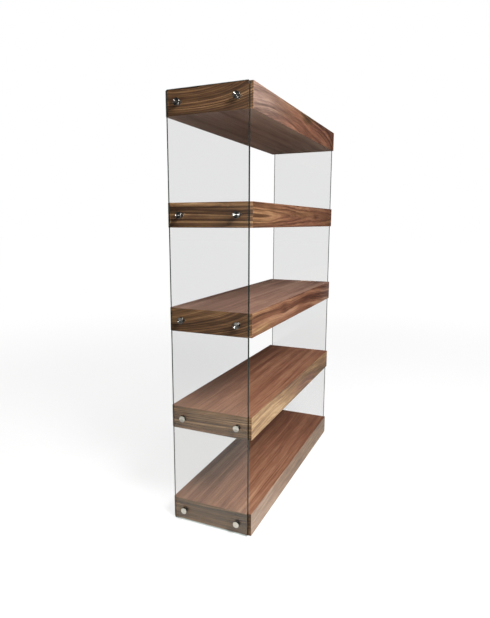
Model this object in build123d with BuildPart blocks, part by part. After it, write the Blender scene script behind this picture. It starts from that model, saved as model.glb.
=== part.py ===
from build123d import *
import os

# An open bookcase: five hollow, veneered box shelves clamped between two full-height glass side
# panels. X runs along the shelves, -Y is the front and +Z is up. The origin is on the floor, at
# the middle of the footprint. All sizes are in millimetres.

os.makedirs("parts", exist_ok=True)

# ---------------------------------------------------------------- driving dimensions

# Box shelves
shelf_count = 5
box_length = 1100.0
box_depth = 340.0
box_height = 90.0
bay_height = 300.0  # clear height between one shelf and the next
panel_thickness = 18.0
arris_radius = 1.0  # rounding of the long edges of each box
rib_count = 3
rib_thickness = 18.0
end_block_width = 40.0

# Glass side panels
glass_thickness = 12.0
glass_setback = 10.0  # from the front and back faces of the boxes
glass_base_gap = 3.0  # from the bottom of the lowest box up to the glass
glass_corner_radius = 6.0
glass_arris = 1.0
glass_hole_diameter = 14.0

# Fixings, two at each end of each box
fixing_edge_distance = 55.0  # from the front or back face of a box to the fixing's axis
cap_diameter = 26.0
cap_height = 7.2
cap_bevel = 1.0
cap_dish_depth = 0.7
cap_thread_depth = 5.5
cap_washer_diameter = 24.0
cap_washer_thickness = 0.8
spacer_diameter = 22.0
spacer_thickness = 1.5
sleeve_wall = 3.2
sleeve_clearance = 0.1  # round the outside of a sleeve, in its glass hole
stud_diameter = 6.0
stud_clearance = 0.3  # round a stud, in its washers
stud_tip_bevel = 0.8
insert_diameter = 10.0
insert_length = 25.0
insert_flange_diameter = 13.0
insert_flange_thickness = 1.5
stud_tip_gap = 3.0  # left below the stud in its insert

# Glides under the lowest box
glide_height = 5.0
glide_diameter = 30.0
glide_edge_distance = 45.0  # from the front or back face of the box
glide_end_distance = 60.0  # from the end of the box
glide_bevel = 1.0
screw_head_diameter = 7.0
screw_shank_diameter = 3.5
screw_length = 14.0
screw_recess = 0.8  # depth of the screw's head inside the glide
screw_clearance = 0.2

# ---------------------------------------------------------------- derived places

shelf_pitch = box_height + bay_height
box_bottoms = [glide_height + shelf_pitch * i for i in range(shelf_count)]
stack_top = box_bottoms[-1] + box_height
inner_length = box_length - 2 * panel_thickness
inner_depth = box_depth - 2 * panel_thickness
inner_height = box_height - 2 * panel_thickness
fixing_y = box_depth / 2 - fixing_edge_distance
mitre_angle = 45.0


def fixing_planes(side, bottom):
    """Planes at one end of a box, on the axes of its two fixings, facing away from the box."""
    middle = bottom + box_height / 2
    return [
        Plane(origin=(side * box_length / 2, y, middle), x_dir=(0, side, 0), z_dir=(side, 0, 0))
        for y in (-fixing_y, fixing_y)
    ]


all_fixing_planes = [
    plane for side in (-1, 1) for bottom in box_bottoms for plane in fixing_planes(side, bottom)
]

# Heights along a fixing's axis, measured outwards from the end face of the box
spacer_top = spacer_thickness
glass_outer = spacer_top + glass_thickness
washer_top = glass_outer + cap_washer_thickness
cap_top = washer_top + cap_height
stud_top = washer_top + cap_thread_depth
stud_bottom = stud_tip_gap - insert_length


def save(piece, name):
    """Label a finished piece and write its STEP file."""
    piece.part.label = name
    export_step(piece.part, f"parts/{name}.step")


# ---------------------------------------------------------------- box shelves


def make_box_form(bottom):
    """The outer shape of a whole box, with its edges rounded, which trims each panel."""
    with BuildPart() as form:
        with BuildSketch(Plane.XY.offset(bottom)):
            Rectangle(box_length, box_depth)
        extrude(amount=box_height)
        fillet(form.edges(), arris_radius)
    return form.part


def make_panel(face, width, height, form):
    """A board mitred on all four edges; face lies on its outer side and points inwards."""
    with BuildPart() as panel:
        with BuildSketch(face):
            Rectangle(width, height)
        extrude(amount=panel_thickness, taper=mitre_angle)
        add(form, mode=Mode.INTERSECT)
    return panel


def make_end_panel(side, bottom, form):
    """An end board, drilled for the two threaded inserts."""
    middle = bottom + box_height / 2
    face = Plane(origin=(side * box_length / 2, 0, middle), x_dir=(0, 1, 0), z_dir=(-side, 0, 0))
    with BuildPart() as panel:
        add(make_panel(face, box_depth, box_height, form).part)
        with Locations(*fixing_planes(side, bottom)):
            CounterBoreHole(
                radius=insert_diameter / 2,
                counter_bore_radius=insert_flange_diameter / 2,
                counter_bore_depth=insert_flange_thickness,
                depth=insert_length,
            )
    return panel


def make_end_blocks(bottom):
    """Two solid blocks inside the ends of a box, drilled for the threaded inserts."""
    block_x = (inner_length - end_block_width) / 2
    with BuildPart() as blocks:
        with BuildSketch(Plane.XY.offset(bottom + panel_thickness)):
            with Locations((-block_x, 0), (block_x, 0)):
                Rectangle(end_block_width, inner_depth)
        extrude(amount=inner_height)
        with Locations(*fixing_planes(-1, bottom), *fixing_planes(1, bottom)):
            Hole(insert_diameter / 2, depth=insert_length)
    return blocks


def make_ribs(bottom):
    """Upright ribs across the inside of a box, evenly spaced between its end blocks."""
    clear_length = inner_length - 2 * end_block_width
    spacing = (clear_length + rib_thickness) / (rib_count + 1)
    with BuildPart() as ribs:
        with BuildSketch(Plane.XY.offset(bottom + panel_thickness)):
            with GridLocations(spacing, 1, rib_count, 1):
                Rectangle(rib_thickness, inner_depth)
        extrude(amount=inner_height)
    return ribs


def glide_planes():
    """Planes on the axes of the glides, on the floor and facing up."""
    glide_x = box_length / 2 - glide_end_distance
    glide_y = box_depth / 2 - glide_edge_distance
    return [
        Plane(origin=(x, y, 0)) for x in (-glide_x, glide_x) for y in (-glide_y, glide_y)
    ]


def make_base_bottom_panel(panel):
    """The bottom board of the lowest box, with pilot holes for the glide screws."""
    pilot_depth = screw_recess + screw_length - glide_height
    with BuildPart() as drilled:
        add(panel.part)
        with BuildSketch(*[plane.offset(glide_height) for plane in glide_planes()]):
            Circle(screw_shank_diameter / 2)
        extrude(amount=pilot_depth, mode=Mode.SUBTRACT)
    return drilled


for index, bottom in enumerate(box_bottoms):
    shelf = f"shelf_{index + 1}"
    middle = bottom + box_height / 2
    form = make_box_form(bottom)
    along = (1, 0, 0)

    top_face = Plane(origin=(0, 0, bottom + box_height), x_dir=along, z_dir=(0, 0, -1))
    save(make_panel(top_face, box_length, box_depth, form), f"{shelf}_top_panel")

    bottom_face = Plane(origin=(0, 0, bottom), x_dir=along, z_dir=(0, 0, 1))
    bottom_panel = make_panel(bottom_face, box_length, box_depth, form)
    if index == 0:
        bottom_panel = make_base_bottom_panel(bottom_panel)
    save(bottom_panel, f"{shelf}_bottom_panel")

    front_face = Plane(origin=(0, -box_depth / 2, middle), x_dir=along, z_dir=(0, 1, 0))
    save(make_panel(front_face, box_length, box_height, form), f"{shelf}_front_panel")

    back_face = Plane(origin=(0, box_depth / 2, middle), x_dir=along, z_dir=(0, -1, 0))
    save(make_panel(back_face, box_length, box_height, form), f"{shelf}_back_panel")

    save(make_end_panel(-1, bottom, form), f"{shelf}_left_end_panel")
    save(make_end_panel(1, bottom, form), f"{shelf}_right_end_panel")
    save(make_end_blocks(bottom), f"{shelf}_end_blocks")
    save(make_ribs(bottom), f"{shelf}_core_ribs")

# ---------------------------------------------------------------- glass side panels


def make_glass(side):
    """A toughened glass side panel with polished edges and a hole for each fixing."""
    glass_depth = box_depth - 2 * glass_setback
    glass_bottom = box_bottoms[0] + glass_base_gap
    glass_height = stack_top - glass_bottom
    inner_face = Plane(
        origin=(side * (box_length / 2 + spacer_top), 0, glass_bottom + glass_height / 2),
        x_dir=(0, 1, 0),
        z_dir=(side, 0, 0),
    )
    with BuildPart() as glass:
        with BuildSketch(inner_face):
            RectangleRounded(glass_depth, glass_height, glass_corner_radius)
        extrude(amount=glass_thickness)
        chamfer(glass.faces().filter_by(Axis.X).edges(), glass_arris)
        planes = [plane for bottom in box_bottoms for plane in fixing_planes(side, bottom)]
        with Locations(*[plane.offset(glass_outer) for plane in planes]):
            Hole(glass_hole_diameter / 2, depth=glass_thickness)
    return glass


save(make_glass(-1), "left_glass_panel")
save(make_glass(1), "right_glass_panel")

# ---------------------------------------------------------------- fixings


def turned_form(*outline):
    """A turned piece from its half outline, given as (radius, height along the axis) points."""
    with BuildPart() as turned:
        with BuildSketch(Plane.XZ):
            with BuildLine():
                Polyline(*outline, close=True)
            make_face()
        revolve(axis=Axis.Z)
    return turned.part


def make_ring_form(outer_diameter, inner_diameter, bottom, top):
    """A plain ring, such as a washer or a sleeve."""
    outer, inner = outer_diameter / 2, inner_diameter / 2
    return turned_form((inner, bottom), (outer, bottom), (outer, top), (inner, top))


def place_copies(form, planes):
    """A group of the same solid, one on each plane."""
    with BuildPart() as group:
        with Locations(*planes):
            add(form)
    return group


cap_radius = cap_diameter / 2
stud_radius = stud_diameter / 2
face_radius = cap_radius - cap_bevel
cap_form = turned_form(
    (0, stud_top),
    (stud_radius, stud_top),
    (stud_radius, washer_top),
    (cap_radius, washer_top),
    (cap_radius, cap_top - cap_bevel),
    (face_radius, cap_top),
    (0, cap_top - cap_dish_depth),
)
save(place_copies(cap_form, all_fixing_planes), "cap_nuts")

stud_form = turned_form(
    (0, stud_bottom),
    (stud_radius - stud_tip_bevel, stud_bottom),
    (stud_radius, stud_bottom + stud_tip_bevel),
    (stud_radius, stud_top),
    (0, stud_top),
)
save(place_copies(stud_form, all_fixing_planes), "threaded_studs")

stud_hole_diameter = stud_diameter + 2 * stud_clearance
washer_form = make_ring_form(cap_washer_diameter, stud_hole_diameter, glass_outer, washer_top)
save(place_copies(washer_form, all_fixing_planes), "cap_washers")

spacer_form = make_ring_form(spacer_diameter, stud_hole_diameter, 0, spacer_top)
save(place_copies(spacer_form, all_fixing_planes), "spacer_washers")

sleeve_diameter = glass_hole_diameter - 2 * sleeve_clearance
sleeve_bore = sleeve_diameter - 2 * sleeve_wall
sleeve_form = make_ring_form(sleeve_diameter, sleeve_bore, spacer_top, glass_outer)
save(place_copies(sleeve_form, all_fixing_planes), "glass_sleeves")

insert_radius = insert_diameter / 2
flange_radius = insert_flange_diameter / 2
insert_form = turned_form(
    (stud_radius, -insert_length),
    (insert_radius, -insert_length),
    (insert_radius, -insert_flange_thickness),
    (flange_radius, -insert_flange_thickness),
    (flange_radius, 0),
    (stud_radius, 0),
)
save(place_copies(insert_form, all_fixing_planes), "threaded_inserts")

# ---------------------------------------------------------------- glides

head_radius = screw_head_diameter / 2
shank_radius = screw_shank_diameter / 2
head_height = head_radius - shank_radius  # the head is a 45 degree cone, seated in the glide's
glide_radius = glide_diameter / 2
glide_bore = shank_radius + screw_clearance
recess_radius = head_radius + screw_clearance
recess_top = screw_recess - screw_clearance
cone_top = recess_top + recess_radius - glide_bore
glide_form = turned_form(
    (recess_radius, 0),
    (glide_radius - glide_bevel, 0),
    (glide_radius, glide_bevel),
    (glide_radius, glide_height),
    (glide_bore, glide_height),
    (glide_bore, cone_top),
    (recess_radius, recess_top),
)
save(place_copies(glide_form, glide_planes()), "glides")

screw_top = screw_recess + screw_length
screw_form = turned_form(
    (0, screw_recess),
    (head_radius, screw_recess),
    (shank_radius, screw_recess + head_height),
    (shank_radius, screw_top - shank_radius),
    (0, screw_top),
)
save(place_copies(screw_form, glide_planes()), "glide_screws")
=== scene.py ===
"""Looks for an open bookcase: five walnut box shelves held between two glass side panels.

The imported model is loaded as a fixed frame, in metres: X runs along the shelves, -Y is the front
and +Z is up. Every sub-assembly is a class that dresses its own pieces, and every finish is a
frozen dataclass that builds its own material.
"""

from __future__ import annotations

import logging
import math
from dataclasses import dataclass, replace
from enum import Enum
from typing import Any, ClassVar, Sequence

import bmesh
import bpy
from mathutils import Matrix, Vector

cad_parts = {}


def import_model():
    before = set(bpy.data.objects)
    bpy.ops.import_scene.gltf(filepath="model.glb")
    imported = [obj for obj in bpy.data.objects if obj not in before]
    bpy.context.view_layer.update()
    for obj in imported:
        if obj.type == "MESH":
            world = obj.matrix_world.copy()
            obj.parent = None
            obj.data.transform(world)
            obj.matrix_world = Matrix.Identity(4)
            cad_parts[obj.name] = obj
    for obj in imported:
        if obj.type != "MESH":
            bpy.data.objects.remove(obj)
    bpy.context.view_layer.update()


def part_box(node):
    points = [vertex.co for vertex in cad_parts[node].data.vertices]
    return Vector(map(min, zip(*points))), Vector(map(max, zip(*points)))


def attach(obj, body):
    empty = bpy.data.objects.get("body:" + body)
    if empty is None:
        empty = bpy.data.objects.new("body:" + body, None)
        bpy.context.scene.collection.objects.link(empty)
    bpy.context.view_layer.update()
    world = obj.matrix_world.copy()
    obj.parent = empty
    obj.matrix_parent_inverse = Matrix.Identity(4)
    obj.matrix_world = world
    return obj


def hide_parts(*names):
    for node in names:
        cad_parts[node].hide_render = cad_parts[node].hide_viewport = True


log = logging.getLogger("bookcase")

ROOT_BODY = "root"
MM = 0.001
TINY = 1e-6
FULL_TURN = 2 * math.pi
SHELF_NUMBERS = range(1, 6)
SHELF_SEED_STEP = 11.3
CUT_SEEDS = (0.0, 3.3, 6.1)

Colour = tuple[float, float, float]
Stops = Sequence[tuple[float, Colour]]

WHITE: Colour = (1.0, 1.0, 1.0)
BLACK: Colour = (0.0, 0.0, 0.0)


# ---------------------------------------------------------------- shader sheets


class Expr:
    """A value that varies over a surface: one output socket, with arithmetic that adds nodes."""

    def __init__(self, sheet: Sheet, socket: bpy.types.NodeSocket) -> None:
        """Wraps a socket.

        Args:
            sheet: The node tree that the socket belongs to.
            socket: An output socket that carries a number.
        """
        self.sheet = sheet
        self.socket = socket

    def _math(self, operation: str, *values: Value) -> Expr:
        """Adds a Math node.

        Args:
            operation: The Math node's operation.
            values: Its inputs in order, as expressions or numbers.

        Returns:
            The node's output.
        """
        inputs = dict(enumerate(values))
        node = self.sheet.node("ShaderNodeMath", {"operation": operation}, inputs)
        return Expr(self.sheet, node.outputs[0])

    def __add__(self, other: Value) -> Expr:
        """self + other."""
        return self._math("ADD", self, other)

    __radd__ = __add__

    def __sub__(self, other: Value) -> Expr:
        """self - other."""
        return self._math("SUBTRACT", self, other)

    def __rsub__(self, other: Value) -> Expr:
        """other - self."""
        return self._math("SUBTRACT", other, self)

    def __mul__(self, other: Value) -> Expr:
        """self * other."""
        return self._math("MULTIPLY", self, other)

    __rmul__ = __mul__

    def __truediv__(self, other: Value) -> Expr:
        """self / other."""
        return self._math("DIVIDE", self, other)

    def __rtruediv__(self, other: Value) -> Expr:
        """other / self."""
        return self._math("DIVIDE", other, self)

    def size(self) -> Expr:
        """The value without its sign."""
        return self._math("ABSOLUTE", self)

    def root(self) -> Expr:
        """The square root."""
        return self._math("SQRT", self)

    def wave(self) -> Expr:
        """The sine, from -1 to 1."""
        return self._math("SINE", self)

    def fade(self) -> Expr:
        """1 at 0, falling away smoothly as the value grows."""
        return self._math("EXPONENT", self * -1)

    def part(self) -> Expr:
        """What is left after the whole number below the value."""
        return self._math("FRACT", self)

    def whole(self) -> Expr:
        """The whole number below the value."""
        return self._math("FLOOR", self)

    def least(self, other: Value) -> Expr:
        """The smaller of the two."""
        return self._math("MINIMUM", self, other)

    def most(self, other: Value) -> Expr:
        """The larger of the two."""
        return self._math("MAXIMUM", self, other)

    def rise(self, low: float, high: float) -> Expr:
        """A smooth step.

        Args:
            low: Where the step starts from 0.
            high: Where it reaches 1.

        Returns:
            A value from 0 to 1.
        """
        node = self.sheet.node(
            "ShaderNodeMapRange",
            {"interpolation_type": "SMOOTHSTEP"},
            {"Value": self, "From Min": low, "From Max": high},
        )
        return Expr(self.sheet, node.outputs[0])


Value = Expr | float


class Sheet:
    """The node tree of one material, or of the world."""

    def __init__(self, holder: bpy.types.Material | bpy.types.World) -> None:
        """Empties the node tree of what is to be dressed.

        Args:
            holder: The material or world that holds the tree.
        """
        holder.use_nodes = True
        self.holder = holder
        self.tree = holder.node_tree
        self.tree.nodes.clear()

    @classmethod
    def material(cls, name: str) -> Sheet:
        """Starts an empty material of that name."""
        return cls(bpy.data.materials.new(name))

    def node(
        self,
        kind: str,
        settings: dict[str, Any] | None = None,
        inputs: dict[str | int, Any] | None = None,
    ) -> bpy.types.Node:
        """Adds a node, sets its settings and then its sockets.

        Args:
            kind: The node's type.
            settings: Its own settings; "stops" holds a colour ramp's stops.
            inputs: Its sockets by name or number, as numbers, colours, sockets or expressions.

        Returns:
            The new node.
        """
        node = self.tree.nodes.new(kind)
        for key, value in (settings or {}).items():
            if key == "stops":
                self._set_stops(node.color_ramp, value)
            else:
                setattr(node, key, value)
        for key, value in (inputs or {}).items():
            self._feed(node.inputs[key], value)
        return node

    def _feed(self, socket: bpy.types.NodeSocket, value: Any) -> None:
        """Links or sets one input socket.

        Args:
            socket: The input socket.
            value: A number, colour, socket or expression.
        """
        if isinstance(value, Expr):
            value = value.socket
        if isinstance(value, bpy.types.NodeSocket):
            self.tree.links.new(value, socket)
        elif socket.type == "RGBA" and len(value) == 3:
            socket.default_value = (*value, 1.0)
        else:
            socket.default_value = value

    @staticmethod
    def _set_stops(ramp: bpy.types.ColorRamp, stops: Stops) -> None:
        """Sets a colour ramp's stops.

        Args:
            ramp: The ramp, which starts with two stops.
            stops: Two or more stops in order, each a place from 0 to 1 and its colour.
        """
        while len(ramp.elements) < len(stops):
            ramp.elements.new(1.0)
        for element, (place, colour) in zip(ramp.elements, stops):
            element.position = place
            element.color = (*colour, 1.0)

    def split(self, vector: bpy.types.NodeSocket) -> tuple[Expr, Expr, Expr]:
        """Takes a vector apart.

        Args:
            vector: The socket that carries it.

        Returns:
            Its x, y and z.
        """
        node = self.node("ShaderNodeSeparateXYZ", {}, {0: vector})
        x, y, z = (Expr(self, socket) for socket in node.outputs)
        return x, y, z

    def place(self) -> tuple[Expr, Expr, Expr]:
        """The point on the surface, in metres, as its three coordinates."""
        return self.split(self.node("ShaderNodeTexCoord").outputs["Object"])

    def facing(self) -> tuple[Expr, Expr, Expr]:
        """The surface's own normal, as its three coordinates."""
        return self.split(self.node("ShaderNodeNewGeometry").outputs["True Normal"])

    def vector(self, x: Value, y: Value, z: Value) -> bpy.types.NodeSocket:
        """A vector from three numbers or expressions."""
        return self.node("ShaderNodeCombineXYZ", {}, {0: x, 1: y, 2: z}).outputs[0]

    def noise(self, vector: bpy.types.NodeSocket, detail: float = 2.0, rough: float = 0.5) -> Expr:
        """Smooth noise about one unit wide.

        Args:
            vector: Where to read it, already scaled.
            detail: How many finer layers it has.
            rough: How strong the finer layers are.

        Returns:
            A value from 0 to 1, mostly near 0.5.
        """
        inputs = {"Vector": vector, "Scale": 1.0, "Detail": detail, "Roughness": rough}
        return Expr(self, self.node("ShaderNodeTexNoise", {}, inputs).outputs[0])

    def speckle(self, place: tuple[Expr, Expr, Expr], count: float) -> Expr:
        """Noise that is equally fine every way, with about count specks in a metre."""
        return self.noise(self.vector(*(axis * count for axis in place)))

    def blend(self, share: Any, first: Any, second: Any) -> bpy.types.NodeSocket:
        """Mixes two colours.

        Args:
            share: How much of the second, from 0 to 1.
            first: The colour at 0.
            second: The colour at 1.

        Returns:
            The mixed colour.
        """
        inputs = {0: share, 6: first, 7: second}
        return self.node("ShaderNodeMix", {"data_type": "RGBA"}, inputs).outputs[2]

    def ramp(self, value: Expr, stops: Stops) -> bpy.types.NodeSocket:
        """A colour read from a ramp of stops."""
        return self.node("ShaderNodeValToRGB", {"stops": stops}, {0: value}).outputs[0]

    def bump(self, height: Expr, depth: float, strength: float) -> bpy.types.NodeSocket:
        """A normal from a height.

        Args:
            height: The height, about 0 to 1.
            depth: What a height of 1 stands for, in metres.
            strength: How much of it shows.

        Returns:
            The bumped normal.
        """
        inputs = {"Height": height, "Distance": depth, "Strength": strength}
        return self.node("ShaderNodeBump", {}, inputs).outputs[0]

    def surface(self, **sockets: Any) -> bpy.types.Node:
        """A Principled shader, with its sockets given by name and _ for each space."""
        inputs = {key.replace("_", " "): value for key, value in sockets.items()}
        return self.node("ShaderNodeBsdfPrincipled", {}, inputs)

    def either(self, share: Any, first: bpy.types.Node, second: bpy.types.Node) -> bpy.types.Node:
        """Mixes two shaders.

        Args:
            share: How much of the second, from 0 to 1.
            first: The shader at 0.
            second: The shader at 1.

        Returns:
            The mixed shader.
        """
        inputs = {0: share, 1: first.outputs[0], 2: second.outputs[0]}
        return self.node("ShaderNodeMixShader", {}, inputs)

    def done(self, shader: bpy.types.NodeSocket) -> bpy.types.Material:
        """Links the shader to the output and returns the finished material."""
        self.node("ShaderNodeOutputMaterial", {}, {"Surface": shader})
        return self.holder


# ---------------------------------------------------------------- finishes


class Grain(Enum):
    """Which way a veneer lies: the axis its grain follows and the axis across it."""

    BROAD = ("x", "y")
    FRONT = ("x", "z")
    END = ("y", "z")


@dataclass
class Lay:
    """How a point lies on its leaf of veneer, and what the board's figures do to it there.

    Its place is in metres, drift makes every leaf differ, and the rest is added to the tone, to
    the redness and to the share of greyer colour that is painted sheen.
    """

    along: Expr
    across: Expr
    drift: Value
    shift: Value
    blush: Value
    painted_sheen_share: Value


@dataclass(frozen=True)
class Figure:
    """One feature of a board: a lighter or darker cloud, a patch of painted sheen, or a knot that
    the grain flows round.

    Its place is measured from the board's middle, along and across the grain, in metres.
    """

    along: float
    across: float
    length: float
    width: float
    tone: float = 0.0
    pull: float = 0.0
    red: float = 0.0
    ash: float = 0.0

    def mark(self, lay: Lay) -> None:
        """Leaves this feature's mark on a lay.

        Args:
            lay: The lay, which is changed most at the feature's middle and not at all far away.
        """
        off_along = (lay.along - self.along) / self.length
        off_across = (lay.across - self.across) / self.width
        nearness = (off_along * off_along + off_across * off_across).fade()
        lay.shift = lay.shift + nearness * self.tone
        if self.red:
            lay.blush = nearness * self.red + lay.blush
        # A figure can add painted sheen: a greyer colour standing in for a pale reflection.
        if self.ash:
            lay.painted_sheen_share = nearness * self.ash + lay.painted_sheen_share
        if self.pull:
            lay.across = lay.across - (lay.across - self.across) * (nearness * self.pull)


@dataclass(frozen=True)
class WalnutVeneer:
    """Satin lacquered walnut veneer, cut from one flitch.

    Lengths are in metres. The growth rings are cylinders round a heart line that runs nearly
    along the grain, so a flat cut through them shows long cathedral arches. In the patterns, a
    number that multiplies a length is a count in a metre, and one that is added to the drift only
    keeps one pattern from repeating another.
    """

    name: str
    grain: Grain
    seed: float = 0.0
    middle: float = 0.0
    lightness: float = 0.48
    contrast: float = 1.0
    # Painted light: how much the lightness changes along the grain, per metre; a negative slope
    # darkens the board away from the left end, where the key light is nearest.
    slide: float = 0.0
    red: float = 0.5
    # Painted sheen: the share of greyer colours that stand in for the pale veil of a grazing
    # reflection.
    ash: float = 0.0
    lines: float = 0.8
    mottle: float = 0.35
    gold_lines: float = 0.0
    gold_width: float = 0.005
    sway: float = 0.05
    heart_across: float = 0.0
    heart_depth: float = 0.03
    heart_slope: float = 0.05
    ring_width: float = 0.010
    band_width: float = 0.029
    leaf_width: float = 0.0
    figures: tuple[Figure, ...] = ()

    BAND_TONE: ClassVar[float] = 1.9
    CLOUD_TONE: ClassVar[float] = 0.7
    STREAK_TONE: ClassVar[float] = 0.95
    FIBRE_TONE: ClassVar[float] = 0.34
    RING_TONE: ClassVar[float] = 0.36
    PORE_TONE: ClassVar[float] = 0.10
    RIPPLE_SHARE: ClassVar[float] = 0.12
    HEART_BULGE: ClassVar[float] = 0.06
    RING_UNEVENNESS: ClassVar[float] = 1.6
    LEAF_DRIFT: ClassVar[float] = 0.37
    LEAF_SLIP: ClassVar[float] = 0.06
    PORE_DEPTH: ClassVar[float] = 0.12 * MM

    BROWN: ClassVar[Stops] = (
        (0.0, (0.034, 0.0155, 0.0070)),
        (0.25, (0.088, 0.0425, 0.0185)),
        (0.5, (0.190, 0.0960, 0.0420)),
        (0.75, (0.340, 0.1950, 0.0920)),
        (1.0, (0.540, 0.3600, 0.1950)),
    )
    # Greyer colours, used for painted sheen.
    ASH: ClassVar[Stops] = (
        (0.0, (0.056, 0.0390, 0.0360)),
        (0.25, (0.125, 0.0870, 0.0770)),
        (0.5, (0.235, 0.1660, 0.1430)),
        (0.75, (0.400, 0.2960, 0.2540)),
        (1.0, (0.580, 0.4660, 0.4100)),
    )
    RED: ClassVar[Stops] = (
        (0.0, (0.040, 0.0140, 0.0095)),
        (0.25, (0.108, 0.0410, 0.0250)),
        (0.5, (0.228, 0.0980, 0.0560)),
        (0.75, (0.385, 0.2020, 0.1200)),
        (1.0, (0.560, 0.3600, 0.2300)),
    )

    def _lay(self, sheet: Sheet) -> Lay:
        """Finds how a point lies on its leaf of veneer.

        Args:
            sheet: The sheet that gets the nodes.

        Returns:
            The lay, with the mark of every figure on it.
        """
        axes = dict(zip("xyz", sheet.place()))
        along, across = (axes[letter] for letter in self.grain.value)
        across = across - self.middle
        drift: Value = self.seed
        if self.leaf_width:
            leaf = (across / self.leaf_width + 0.5).whole()
            drift = leaf * self.LEAF_DRIFT + self.seed
            along = along + leaf * self.LEAF_SLIP
            across = across - leaf * self.leaf_width
        # Painted light slope: the tone changes steadily along the grain.
        shift = along * self.slide + self.lightness
        # The lay starts with the board's share of painted sheen.
        lay = Lay(along, across, drift, shift, blush=self.red - 0.5, painted_sheen_share=self.ash)
        for figure in self.figures:
            figure.mark(lay)
        return lay

    def _heart(self, sheet: Sheet, lay: Lay, bent: Expr) -> Expr:
        """Measures how far a point is from the heart line.

        Args:
            sheet: The sheet that gets the nodes.
            lay: How the point lies on its leaf.
            bent: Its place across the grain, once the grain has swayed.

        Returns:
            The distance in metres.
        """
        bulge = sheet.noise(sheet.vector(lay.along * 2.3, lay.drift, 3.1), 1.0) - 0.5
        depth = lay.along * self.heart_slope + bulge * self.HEART_BULGE + self.heart_depth
        side = bent - self.heart_across
        return (side * side + depth * depth).root()

    def _growth_lines(self, sheet: Sheet, lay: Lay, heart: Expr) -> Expr:
        """Draws the dark line at the edge of each growth ring.

        Args:
            sheet: The sheet that gets the nodes.
            lay: How the point lies on its leaf.
            heart: Its distance from the heart line.

        Returns:
            1 on the strongest lines and 0 between them.
        """
        uneven = sheet.noise(sheet.vector(heart * 60, lay.drift, 7.7))
        rings = heart / self.ring_width + uneven * self.RING_UNEVENNESS
        phase = rings.part()
        line = phase.rise(0.30, 0.93) * (1 - phase.rise(0.93, 1.0))
        weight = sheet.noise(sheet.vector(rings * 0.31, lay.along * 0.9, lay.drift + 5.3), 1.0)
        return line * weight.rise(0.30, 0.70)

    def build(self) -> bpy.types.Material:
        """Builds the material.

        Returns:
            The finished material.
        """
        sheet = Sheet.material(self.name)
        lay = self._lay(sheet)
        along, drift = lay.along, lay.drift
        sway = sheet.noise(sheet.vector(along * 1.7, lay.across * 6, drift)) - 0.5
        ripple = sheet.noise(sheet.vector(along * 9, lay.across * 30, drift)) - 0.5
        bent = lay.across + sway * self.sway + ripple * (self.sway * self.RIPPLE_SHARE)
        heart = self._heart(sheet, lay, bent)

        belt = sheet.vector(heart / self.band_width, along * 0.8, drift + 9.2)
        band = sheet.noise(belt, 3.0, 0.6)
        cloud = sheet.noise(sheet.vector(along * 2.6, bent * 9, drift + 2.4))
        streak = sheet.noise(sheet.vector(along * 3.2, heart * 210, drift + 4.0), 2.0, 0.6)
        flame = sheet.noise(sheet.vector(along * 15 + bent * 40, bent * 130, drift + 1.2), 2.0, 0.6)
        fibre = sheet.noise(sheet.vector(along * 11, bent * 900, drift), 3.0, 0.6)
        pore = sheet.noise(sheet.vector(along * 75, bent * 2100, drift), 1.0).rise(0.66, 0.78)
        tone = (
            (band - 0.5) * (self.BAND_TONE * self.contrast)
            + (cloud - 0.5) * (self.CLOUD_TONE * self.contrast)
            + (streak - 0.5) * (self.STREAK_TONE * self.lines)
            + (flame - 0.5) * self.mottle
            + (fibre - 0.5) * self.FIBRE_TONE
            - self._growth_lines(sheet, lay, heart) * (self.RING_TONE * self.lines)
            - pore * self.PORE_TONE
            + lay.shift
        )
        if self.gold_lines:
            thread = sheet.vector(along * 0.9, heart / self.gold_width, drift + 6.6)
            tone = tone + sheet.noise(thread, 2.0, 0.6).rise(0.55, 0.66) * self.gold_lines

        hue = sheet.noise(sheet.vector(along * 1.3, bent * 14, drift + 8.8), 1.0)
        redness = (hue + lay.blush).rise(0.25, 0.75)
        colour = sheet.blend(redness, sheet.ramp(tone, self.BROWN), sheet.ramp(tone, self.RED))
        # Painted sheen: part of the colour is read from the greyer stops.
        if self.ash or any(figure.ash for figure in self.figures):
            colour = sheet.blend(lay.painted_sheen_share, colour, sheet.ramp(tone, self.ASH))
        shader = sheet.surface(
            Base_Color=colour,
            Roughness=fibre * 0.10 + pore * 0.20 + streak * 0.08 + 0.33,
            Normal=sheet.bump(fibre * 0.35 - pore, self.PORE_DEPTH, 0.35),
            Specular_IOR_Level=0.35,
        )
        return sheet.done(shader.outputs[0])


@dataclass(frozen=True)
class CoreTimber:
    """Bare softwood, for the ribs and blocks inside the shelves."""

    name: str = "core_timber"
    seed: float = 3.7
    ring_fineness: float = 160.0
    grain_depth: float = 0.2 * MM
    dark: Colour = (0.40, 0.25, 0.12)
    pale: Colour = (0.66, 0.48, 0.29)

    def build(self) -> bpy.types.Material:
        """Builds the material.

        Returns:
            The finished material.
        """
        sheet = Sheet.material(self.name)
        x, y, z = sheet.place()
        sway = sheet.noise(sheet.vector(y * 4, x * 20, self.seed))
        rings = ((x + z) * self.ring_fineness + sway * 5).wave()
        fibre = sheet.noise(sheet.vector(y * 20, x * 900, z * 900))
        tone = rings * 0.22 + fibre * 0.4 + 0.3
        shader = sheet.surface(
            Base_Color=sheet.ramp(tone, ((0.0, self.dark), (1.0, self.pale))),
            Roughness=fibre * 0.2 + 0.6,
            Normal=sheet.bump(fibre, self.grain_depth, 0.4),
        )
        return sheet.done(shader.outputs[0])


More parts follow.
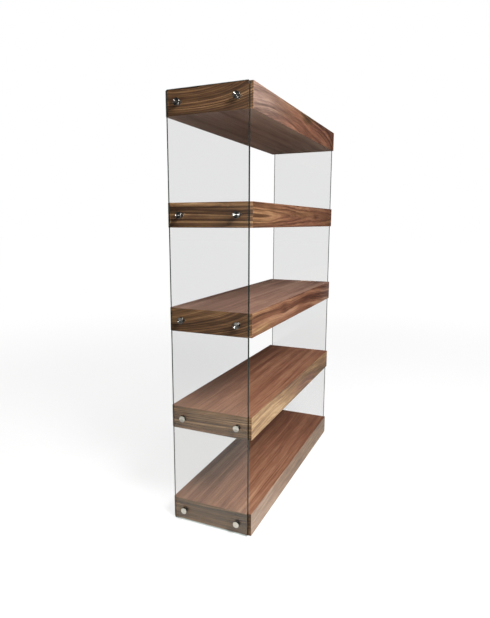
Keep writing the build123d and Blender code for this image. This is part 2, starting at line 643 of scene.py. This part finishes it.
@dataclass(frozen=True)
class ClearGlass:
    """Toughened clear glass, with polished edges.

    The edges are painted by the way they face: painted shade makes the front edges dark, and a
    painted reflection of the pale room behind makes the back and top edges pale.
    """

    name: str = "clear_glass"
    face_tint: Colour = (0.838, 0.840, 0.840)
    # Painted edge colours: painted shade on the front edges, and a painted reflection of the pale
    # room on the back and top edges.
    front_edge_painted_shade: Colour = (0.014, 0.019, 0.017)
    pale_edge_painted_reflection: Colour = (0.50, 0.56, 0.54)
    lamp_tint: Colour = (0.80, 0.81, 0.805)
    edge_share: float = 0.97
    bending: float = 1.5

    def build(self) -> bpy.types.Material:
        """Builds the material.

        Returns:
            The finished material.
        """
        sheet = Sheet.material(self.name)
        across, back, up = sheet.facing()
        edge = (1 - across.size().rise(0.80, 0.95)) * self.edge_share
        glass = sheet.surface(
            Base_Color=self.face_tint,
            Roughness=0.0,
            Transmission_Weight=1.0,
            IOR=self.bending,
        )
        polish = sheet.speckle(sheet.place(), 40)
        # Painted shade and painted reflection: the rim is dark where the edge faces the front and
        # pale where it faces back or up.
        tint = sheet.blend((back + up).rise(0.3, 0.9), self.front_edge_painted_shade, self.pale_edge_painted_reflection)
        rim = sheet.surface(
            Base_Color=tint,
            Roughness=polish * 0.2 + 0.15,
            Specular_IOR_Level=0.06,
        )
        body = sheet.either(edge, glass, rim)
        clear = sheet.node("ShaderNodeBsdfTransparent", {}, {"Color": self.lamp_tint})
        path = sheet.node("ShaderNodeLightPath")
        return sheet.done(sheet.either(path.outputs["Is Shadow Ray"], body, clear).outputs[0])


@dataclass(frozen=True)
class TurnedSteel:
    """Stainless steel, faced on a lathe, so that it shines in a bow tie across its axis.

    The piece's own Z axis is its turning axis, in metres.
    """

    name: str = "turned_steel"
    colour: Colour = (0.66, 0.65, 0.62)
    stain: Colour = (0.46, 0.45, 0.43)
    roughness: float = 0.17
    brushed: float = 1.0
    groove_pitch: float = 0.45 * MM
    groove_depth: float = 0.02 * MM

    def build(self) -> bpy.types.Material:
        """Builds the material.

        Returns:
            The finished material.
        """
        sheet = Sheet.material(self.name)
        x, y, z = sheet.place()
        radius = (x * x + y * y).root()
        groove = (radius * (FULL_TURN / self.groove_pitch)).wave()
        fine = sheet.noise(sheet.vector(radius * 9000, z * 9000, 0.0))
        dull = sheet.speckle((x, y, z), 300)
        shader = sheet.surface(
            Base_Color=sheet.blend(dull * 0.4, self.colour, self.stain),
            Metallic=1.0,
            Roughness=fine * 0.04 + dull * 0.03 + self.roughness,
            Anisotropic=self.brushed,
            Anisotropic_Rotation=0.25,
            Normal=sheet.bump(groove * 0.7 + fine * 0.3, self.groove_depth, 0.2),
        )
        return sheet.done(shader.outputs[0])


@dataclass(frozen=True)
class PlatedSteel:
    """Zinc plated steel, with thread marks round studs that lie along X."""

    name: str = "plated_steel"
    grey: Colour = (0.52, 0.52, 0.50)
    bright: Colour = (0.70, 0.69, 0.64)
    thread_pitch: float = 1.0 * MM
    thread_depth: float = 0.3 * MM

    def build(self) -> bpy.types.Material:
        """Builds the material.

        Returns:
            The finished material.
        """
        sheet = Sheet.material(self.name)
        place = sheet.place()
        thread = (place[0] * (FULL_TURN / self.thread_pitch)).wave()
        spangle = sheet.speckle(place, 700)
        shader = sheet.surface(
            Base_Color=sheet.blend(spangle, self.grey, self.bright),
            Metallic=1.0,
            Roughness=spangle * 0.2 + 0.25,
            Normal=sheet.bump(thread, self.thread_depth, 0.6),
        )
        return sheet.done(shader.outputs[0])


@dataclass(frozen=True)
class SoftPlastic:
    """A moulded plastic, with a faint skin of its own."""

    name: str
    colour: Colour
    shade: Colour
    roughness: float = 0.45
    clearness: float = 0.0
    bending: float = 1.5
    grit_depth: float = 0.05 * MM

    def build(self) -> bpy.types.Material:
        """Builds the material.

        Returns:
            The finished material.
        """
        sheet = Sheet.material(self.name)
        place = sheet.place()
        mottle = sheet.speckle(place, 400)
        grit = sheet.speckle(place, 3000)
        shader = sheet.surface(
            Base_Color=sheet.blend(mottle, self.colour, self.shade),
            Roughness=mottle * 0.12 + self.roughness,
            Transmission_Weight=self.clearness,
            IOR=self.bending,
            Normal=sheet.bump(grit, self.grit_depth, 0.3),
        )
        return sheet.done(shader.outputs[0])


@dataclass(frozen=True)
class MachinedBrass:
    """Plain brass, turned on a lathe."""

    name: str = "insert_brass"
    yellow: Colour = (0.72, 0.52, 0.22)
    brown: Colour = (0.55, 0.37, 0.14)
    groove_pitch: float = 1.5 * MM
    groove_depth: float = 0.3 * MM

    def build(self) -> bpy.types.Material:
        """Builds the material.

        Returns:
            The finished material.
        """
        sheet = Sheet.material(self.name)
        place = sheet.place()
        turning = (place[0] * (FULL_TURN / self.groove_pitch)).wave()
        tarnish = sheet.speckle(place, 250)
        shader = sheet.surface(
            Base_Color=sheet.blend(tarnish, self.yellow, self.brown),
            Metallic=1.0,
            Roughness=tarnish * 0.2 + 0.22,
            Normal=sheet.bump(turning, self.groove_depth, 0.5),
        )
        return sheet.done(shader.outputs[0])


# ---------------------------------------------------------------- helpers


def dress(node: str, material: bpy.types.Material) -> None:
    """Gives a CAD node a better material, in each of its material slots.

    Args:
        node: The node's name.
        material: The material it gets.
    """
    for slot in bpy.data.objects[node].material_slots:
        slot.material = material


def add_object(name: str, data: bpy.types.ID) -> bpy.types.Object:
    """Adds a new object to the scene.

    Args:
        name: Its name.
        data: Its mesh, light or camera.

    Returns:
        The object.
    """
    piece = bpy.data.objects.new(name, data)
    bpy.context.scene.collection.objects.link(piece)
    return piece


def aimed(place: Sequence[float], ahead: Vector) -> Matrix:
    """A matrix for a light or a camera.

    Args:
        place: Where it stands, in metres.
        ahead: The direction that it looks in.

    Returns:
        The matrix, with the top of the light or camera upward.
    """
    return Matrix.Translation(place) @ ahead.to_track_quat("-Z", "Y").to_matrix().to_4x4()


# ---------------------------------------------------------------- sub-assemblies


class End(Enum):
    """The two ends of the bookcase, as the sign of X."""

    LEFT = -1
    RIGHT = 1

    @property
    def word(self) -> str:
        """The end's name, as it stands in the names of pieces."""
        return self.name.lower()

    @property
    def glass_panel(self) -> str:
        """The name of the end's glass panel."""
        return f"{self.word}_glass_panel"


@dataclass
class BoxShelf:
    """One hollow box shelf: six mitred boards round ribs and end blocks.

    The front and end veneers are given without their middle, which comes from the shelf's front
    board.
    """

    number: int
    broad: WalnutVeneer
    front: WalnutVeneer
    end: WalnutVeneer

    def build(self, timber: bpy.types.Material) -> None:
        """Dresses every board of the shelf.

        Args:
            timber: The material of the pieces inside.
        """
        shelf = f"shelf_{self.number}"
        low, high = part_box(f"{shelf}_front_panel")
        middle = (low.z + high.z) / 2
        broad = self.broad.build()
        front = replace(self.front, middle=middle).build()
        end = replace(self.end, middle=middle).build()
        for board, veneer in (
            ("top_panel", broad),
            ("bottom_panel", broad),
            ("front_panel", front),
            ("back_panel", front),
            ("left_end_panel", end),
            ("right_end_panel", end),
            ("core_ribs", timber),
            ("end_blocks", timber),
        ):
            dress(f"{shelf}_{board}", veneer)
        log.info("dressed %s", shelf)


@dataclass
class GlassSides:
    """The two full-height glass side panels."""

    finish: ClearGlass = ClearGlass()

    def build(self) -> None:
        """Dresses both panels."""
        material = self.finish.build()
        for end in End:
            dress(end.glass_panel, material)
            log.info("dressed %s", end.glass_panel)


@dataclass
class CapNuts:
    """Turned cap nuts, one on each fixing, built finer than their CAD solids.

    Sizes are in metres. The groove's share is how much of each turned ring it takes, and the
    places come from the CAD nodes' boxes.
    """

    bevel: float = 1.0 * MM
    bevel_steps: int = 4
    back_chamfer: float = 0.4 * MM
    dish: float = 0.7 * MM
    groove_count: int = 7
    groove_depth: float = 0.05 * MM
    groove_share: float = 0.36
    steps: int = 96
    face_finish: TurnedSteel = TurnedSteel()
    # The side is polished, and its colour is painted much darker than the face's steel: painted
    # shade for the dark crescent beside each cap.
    side_finish_painted_shade: TurnedSteel = TurnedSteel(
        "polished_steel_painted_shade", (0.30, 0.29, 0.28), (0.20, 0.19, 0.18), roughness=0.10, brushed=0.0
    )

    def places(self) -> tuple[float, float, list[tuple[Vector, End]]]:
        """Finds the caps from the CAD nodes.

        Returns:
            The cap's radius, its height, and the middle of each cap's back with its end.
        """
        _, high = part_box("cap_nuts")
        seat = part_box("cap_washers")[1].x
        fronts = [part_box(f"shelf_{number}_front_panel") for number in SHELF_NUMBERS]
        rows = [(bottom.z + top.z) / 2 for bottom, top in fronts]
        radius = high.z - rows[-1]
        line = high.y - radius
        found = [
            (Vector((end.value * seat, y, z)), end)
            for end in End
            for z in rows
            for y in (-line, line)
        ]
        return radius, high.x - seat, found

    def outline(self, radius: float, height: float) -> list[tuple[float, float]]:
        """The cap's half outline, from its back to the middle of its face.

        Args:
            radius: The cap's outer radius.
            height: Its height from back to rim.

        Returns:
            Points as (radius, height).
        """
        points = [(0.0, 0.0), (radius - self.back_chamfer, 0.0), (radius, self.back_chamfer)]
        rim = height - self.bevel
        for step in range(self.bevel_steps + 1):
            angle = math.radians(90 * step / self.bevel_steps)
            across = radius - self.bevel * (1 - math.cos(angle))
            points.append((across, rim + self.bevel * math.sin(angle)))
        inner = radius - self.bevel
        half = self.groove_share / 2
        for ring in range(self.groove_count):
            share = (ring + 0.5) / self.groove_count
            for offset, drop in ((-half, 0.0), (0.0, self.groove_depth), (half, 0.0)):
                spot = share + offset / self.groove_count
                floor = height - self.dish * spot
                points.append((inner * (1 - spot), floor - drop))
        points.append((0.0, height - self.dish))
        return points

    def ring(self, shape: bmesh.types.BMesh, across: float, up: float) -> list[bmesh.types.BMVert]:
        """Adds one ring of points round Z.

        Args:
            shape: The mesh that gets them.
            across: The ring's radius.
            up: Its height.

        Returns:
            The ring's points, or the one point of a ring with no radius.
        """
        if across == 0:
            return [shape.verts.new((0, 0, up))]
        angles = (FULL_TURN * step / self.steps for step in range(self.steps))
        return [shape.verts.new((across * math.cos(a), across * math.sin(a), up)) for a in angles]

    def mesh(self, radius: float, height: float) -> bpy.types.Mesh:
        """Spins the outline round Z into a closed mesh.

        Args:
            radius: The cap's outer radius.
            height: Its height from back to rim.

        Returns:
            The mesh, with one finish on the face and one on the side.
        """
        shape = bmesh.new()
        rings = [self.ring(shape, across, up) for across, up in self.outline(radius, height)]
        for lower, upper in zip(rings, rings[1:]):
            for step in range(self.steps):
                after = (step + 1) % self.steps
                if len(lower) == 1:
                    corners = (lower[0], upper[after], upper[step])
                elif len(upper) == 1:
                    corners = (lower[step], lower[after], upper[0])
                else:
                    corners = (lower[step], lower[after], upper[after], upper[step])
                shape.faces.new(corners)
        face_edge = radius - self.bevel + TINY
        for face in shape.faces:
            face.smooth = True
            face.material_index = int(any(vert.co.xy.length > face_edge for vert in face.verts))
        mesh = bpy.data.meshes.new("cap_nut")
        shape.to_mesh(mesh)
        shape.free()
        mesh.materials.append(self.face_finish.build())
        mesh.materials.append(self.side_finish_painted_shade.build())
        return mesh

    def build(self) -> None:
        """Puts a cap on every fixing, in place of the CAD node."""
        radius, height, found = self.places()
        mesh = self.mesh(radius, height)
        each_end = len(found) // len(End)
        for index, (back, end) in enumerate(found):
            cap = add_object(f"cap_nut_{end.word}_{index % each_end + 1}", mesh)
            outward = Matrix.Rotation(end.value * FULL_TURN / 4, 4, "Y")
            cap.matrix_world = Matrix.Translation(back) @ outward
            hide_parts("cap_nuts")
            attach(cap, ROOT_BODY)
        log.info("built %d cap nuts", len(found))


@dataclass
class Hardware:
    """The rest of the fixings and the glides, which keep their CAD shapes."""

    steel: PlatedSteel = PlatedSteel()
    washer_vinyl: SoftPlastic = SoftPlastic(
        "clear_vinyl", (0.42, 0.42, 0.41), (0.34, 0.34, 0.33), roughness=0.1, clearness=0.9
    )
    sleeve_nylon: SoftPlastic = SoftPlastic(
        "nylon", (0.80, 0.80, 0.77), (0.70, 0.70, 0.67), roughness=0.35, clearness=0.5
    )
    glide_plastic: SoftPlastic = SoftPlastic(
        "glide_plastic", (0.030, 0.030, 0.032), (0.018, 0.018, 0.02)
    )
    insert_brass: MachinedBrass = MachinedBrass()

    def build(self) -> None:
        """Dresses every hardware node."""
        plated = self.steel.build()
        vinyl = self.washer_vinyl.build()
        nylon = self.sleeve_nylon.build()
        black = self.glide_plastic.build()
        brass = self.insert_brass.build()
        for node, material in (
            ("threaded_studs", plated),
            ("glide_screws", plated),
            ("cap_washers", vinyl),
            ("spacer_washers", vinyl),
            ("glass_sleeves", nylon),
            ("threaded_inserts", brass),
            ("glides", black),
        ):
            dress(node, material)
            log.info("dressed %s", node)


# ---------------------------------------------------------------- studio


@dataclass(frozen=True)
class Softbox:
    """A square area light, which is never seen itself.

    Lengths are in metres and power is in watts. A light that is off the glass leaves no mirror
    image in it.
    """

    name: str
    place: tuple[float, float, float]
    aim: tuple[float, float, float]
    size: float
    power: float
    off_glass: bool = False

    def build(self) -> None:
        """Hangs the light and turns it to its aim."""
        lamp = bpy.data.lights.new(self.name, "AREA")
        lamp.shape = "SQUARE"
        lamp.size = self.size
        lamp.energy = self.power
        holder = add_object(self.name, lamp)
        holder.matrix_world = aimed(self.place, Vector(self.aim) - Vector(self.place))
        holder.visible_camera = False
        holder.visible_transmission = False
        if self.off_glass:
            self.keep_off_glass(holder)

    def keep_off_glass(self, holder: bpy.types.Object) -> None:
        """Shades both glass panels from the light.

        Args:
            holder: The light's object.
        """
        shaded = bpy.data.collections.new(f"{self.name}_shaded")
        for end in End:
            shaded.objects.link(bpy.data.objects[end.glass_panel])
        for panel in shaded.collection_objects:
            panel.light_linking.link_state = "EXCLUDE"
        holder.light_linking.receiver_collection = shaded


@dataclass
class Studio:
    """A plain pale floor, soft lights and the camera.

    Lengths are in metres, angles in degrees, and the lens and its sensor in millimetres.
    """

    floor_width: float = 60.0
    floor_paint: float = 0.26
    floor_lift: float = 0.78
    pale_reach: tuple[float, float] = (1.5, 5.0)
    bounce_reach: tuple[float, float] = (1.2, 3.2)
    near_bounce: float = 0.74
    far_bounce: float = 0.04
    bounce_tint: Colour = (1.0, 0.98, 0.88)
    horizon_light: float = 0.08
    sky_light: float = 0.46
    sky_rise: tuple[float, float] = (0.1, 0.8)
    back_rise: tuple[float, float] = (-0.1, 0.6)
    mirror_dimming: float = 0.75
    back_dimming: float = 0.75
    camera_place: tuple[float, float, float] = (-2.1856, -0.8485, 1.1903)
    yaw: float = 65.55
    pitch: float = -9.98
    lens: float = 29.5
    sensor_width: float = 36.0
    shift: tuple[float, float] = (0.0152, 0.0057)
    lights: tuple[Softbox, ...] = (
        Softbox("key", (-1.5, -1.85, 2.6), (0.0, 0.0, 0.7), size=0.8, power=112.0),
        Softbox("side", (-3.4, 0.0, 1.2), (0.0, 0.0, 1.1), size=0.65, power=32.0, off_glass=True),
        Softbox("front_fill", (2.4, -3.0, 3.2), (0.0, 0.0, 1.0), size=1.8, power=16.0),
        Softbox("top", (0.3, -1.7, 6.0), (0.0, 0.0, 0.0), size=4.0, power=60.0),
        Softbox("back_fill", (2.6, 3.4, 2.4), (0.0, 0.0, 0.8), size=1.8, power=10.0),
    )

    @staticmethod
    def seen(sheet: Sheet) -> Expr:
        """Tells what is looked at from what only lights the rest.

        Args:
            sheet: The sheet that gets the nodes.

        Returns:
            1 where the viewer looks, straight or through glass, and 0 where light only bounces.
        """
        path = sheet.node("ShaderNodeLightPath")
        names = ("Is Camera Ray", "Is Transmission Ray", "Diffuse Depth", "Glossy Depth")
        straight, through, scattered, mirrored = (Expr(sheet, path.outputs[n]) for n in names)
        return straight.most(through) * (1 - (scattered + mirrored).least(1))

    def build_floor(self) -> None:
        """Makes the pale floor, which looks white where nothing shades it."""
        shape = bmesh.new()
        bmesh.ops.create_grid(shape, x_segments=1, y_segments=1, size=self.floor_width / 2)
        mesh = bpy.data.meshes.new("studio_floor")
        shape.to_mesh(mesh)
        shape.free()
        sheet = Sheet.material("studio_floor")
        x, y, _ = sheet.place()
        reach = (x * x + y * y).root()
        seen = self.seen(sheet)
        far = reach.rise(*self.pale_reach)
        near = 1 - reach.rise(*self.bounce_reach)
        bounce = near * (self.near_bounce - self.far_bounce) + self.far_bounce
        paint = seen * (1 - far) * self.floor_paint + (1 - seen) * bounce
        lift = seen * (far * (1 - self.floor_lift) + self.floor_lift)
        tint = sheet.blend(seen, self.bounce_tint, WHITE)
        shader = sheet.surface(
            Base_Color=sheet.blend(paint, BLACK, tint),
            Roughness=0.7,
            Specular_IOR_Level=0.1,
            Emission_Color=sheet.blend(lift, BLACK, WHITE),
            Emission_Strength=1.0,
        )
        mesh.materials.append(sheet.done(shader.outputs[0]))
        add_object("studio_floor", mesh)

    def build_world(self) -> None:
        """Makes the surroundings: white to look at, and a soft sky over a dim horizon as light."""
        world = bpy.data.worlds.new("studio")
        bpy.context.scene.world = world
        sheet = Sheet(world)
        _, behind, height = sheet.split(sheet.node("ShaderNodeTexCoord").outputs["Generated"])
        sky = height.rise(*self.sky_rise) * (self.sky_light - self.horizon_light)
        sky = (sky + self.horizon_light) * (1 - behind.rise(*self.back_rise) * self.back_dimming)
        path = sheet.node("ShaderNodeLightPath")
        mirrored = Expr(sheet, path.outputs["Is Glossy Ray"])
        seen = self.seen(sheet)
        strength = seen + (1 - seen) * sky * (1 - mirrored * self.mirror_dimming)
        glow = sheet.node("ShaderNodeBackground", {}, {"Color": WHITE, "Strength": strength})
        sheet.node("ShaderNodeOutputWorld", {}, {"Surface": glow.outputs[0]})

    def build_camera(self) -> None:
        """Places the camera."""
        lens = bpy.data.cameras.new("camera")
        lens.lens = self.lens
        lens.sensor_width = self.sensor_width
        lens.shift_x, lens.shift_y = self.shift
        camera = add_object("camera", lens)
        yaw, pitch = math.radians(self.yaw), math.radians(self.pitch)
        level = math.cos(pitch)
        ahead = Vector((math.sin(yaw) * level, math.cos(yaw) * level, math.sin(pitch)))
        camera.matrix_world = aimed(self.camera_place, ahead)
        bpy.context.scene.camera = camera

    def build(self) -> None:
        """Builds the whole studio."""
        self.build_floor()
        self.build_world()
        for light in self.lights:
            light.build()
        self.build_camera()
        bpy.context.scene.view_settings.view_transform = "Standard"
        log.info("built the studio")


def broad_veneers() -> tuple[WalnutVeneer, ...]:
    """The veneers of the top and bottom boards.

    Returns:
        One veneer for each shelf, from the floor up.
    """
    broad = WalnutVeneer(
        "walnut_broad",
        Grain.BROAD,
        lightness=0.56,
        contrast=0.42,
        lines=0.42,
        mottle=0.25,
        # Painted light slope: darker towards the right end.
        slide=-0.10,
        red=0.80,
        heart_across=0.11,
        sway=0.035,
        leaf_width=0.136,
    )
    return (
        broad,
        broad,
        # The third and top shelves' boards carry painted sheen, the top shelf's fully.
        replace(broad, slide=-0.03, ash=0.45),
        broad,
        replace(broad, slide=0.0, ash=1.0, lightness=0.64),
    )


def end_veneers() -> tuple[WalnutVeneer, ...]:
    """The veneers of the end boards.

    Returns:
        One veneer for each shelf, from the floor up.
    """
    end = WalnutVeneer(
        "walnut_end",
        Grain.END,
        lightness=0.32,
        red=0.1,
        contrast=0.6,
        lines=1.0,
        gold_lines=0.34,
        gold_width=0.0045,
        sway=0.02,
        heart_across=0.13,
        heart_slope=0.20,
        ring_width=0.007,
        band_width=0.018,
    )
    return (
        replace(end, lightness=0.38, heart_slope=-0.12, heart_across=0.10, mottle=0.6),
        replace(end, lightness=0.45, heart_slope=-0.15, mottle=0.5),
        replace(
            end,
            contrast=0.35,
            lines=0.85,
            lightness=0.35,
            gold_lines=0.26,
            heart_slope=-0.30,
            heart_depth=0.10,
        ),
        replace(
            end,
            contrast=1.5,
            lightness=0.38,
            heart_slope=0.02,
            heart_depth=0.01,
            ring_width=0.014,
        ),
        replace(end, heart_slope=0.30, heart_across=0.09, heart_depth=-0.03),
    )


def front_veneers() -> tuple[WalnutVeneer, ...]:
    """The veneers of the front and back boards.

    Returns:
        One veneer for each shelf, from the floor up.
    """
    front = WalnutVeneer("walnut_front", Grain.FRONT, contrast=0.8)
    # Each front has a painted light slope along its length.
    return (
        replace(
            front,
            lightness=0.60,
            contrast=0.5,
            slide=-0.18,
            red=0.35,
            # Painted sheen over the whole board.
            ash=0.35,
            mottle=0.55,
            heart_across=0.09,
            ring_width=0.006,
            # More painted sheen near the left end.
            figures=(Figure(-0.5, 0.0, 0.25, 0.10, tone=0.04, ash=0.3),),
        ),
        replace(
            front,
            lightness=0.64,
            contrast=0.75,
            slide=-0.17,
            red=0.25,
            heart_across=-0.08,
            heart_slope=0.12,
            ring_width=0.006,
            band_width=0.020,
            gold_lines=0.12,
            mottle=0.6,
            figures=(
                Figure(-0.28, -0.02, 0.07, 0.025, tone=0.05, pull=0.6),
                Figure(0.15, -0.02, 0.25, 0.03, tone=-0.10, red=0.7),
            ),
        ),
        replace(
            front,
            lightness=0.50,
            red=0.75,
            contrast=0.5,
            slide=-0.08,
            heart_across=-0.10,
            heart_slope=0.10,
            ring_width=0.007,
            band_width=0.022,
            figures=(
                Figure(-0.20, 0.012, 0.045, 0.022, tone=-0.12, pull=0.8),
                Figure(0.16, -0.002, 0.20, 0.022, tone=-0.16, red=0.5),
                Figure(-0.45, -0.03, 0.15, 0.02, tone=0.16, red=-0.4),
                # Painted sheen near the right end.
                Figure(0.50, 0.0, 0.12, 0.10, tone=0.03, ash=0.4),
            ),
        ),
        replace(
            front,
            lightness=0.41,
            contrast=0.62,
            slide=0.06,
            red=0.6,
            sway=0.02,
            heart_depth=0.022,
            heart_slope=0.04,
            ring_width=0.011,
            figures=(Figure(0.19, 0.0, 0.03, 0.016, tone=0.12, pull=0.7),),
        ),
        replace(
            front,
            lightness=0.42,
            slide=-0.09,
            red=0.6,
            contrast=0.6,
            mottle=0.5,
            heart_across=-0.07,
            heart_slope=0.15,
            ring_width=0.008,
            figures=(
                # Painted sheen near the left end.
                Figure(-0.48, 0.0, 0.25, 0.08, tone=0.03, ash=0.7),
                Figure(0.07, 0.03, 0.06, 0.02, tone=-0.2, red=-0.6),
            ),
        ),
    )


def shelves() -> list[BoxShelf]:
    """Gives every shelf its own cuts of veneer.

    Returns:
        The five shelves, from the floor up.
    """
    made = []
    for number, *veneers in zip(SHELF_NUMBERS, broad_veneers(), front_veneers(), end_veneers()):
        broad, front, end = (
            replace(veneer, name=f"{veneer.name}_{number}", seed=SHELF_SEED_STEP * number + cut)
            for veneer, cut in zip(veneers, CUT_SEEDS)
        )
        made.append(BoxShelf(number, broad, front, end))
    return made


def main() -> None:
    """Loads the frame and builds every sub-assembly in order."""
    logging.basicConfig(level=logging.INFO, format="%(name)s: %(message)s")
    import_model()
    timber = CoreTimber().build()
    for shelf in shelves():
        shelf.build(timber)
    GlassSides().build()
    CapNuts().build()
    Hardware().build()
    Studio().build()


if __name__ == "__main__":
    main()
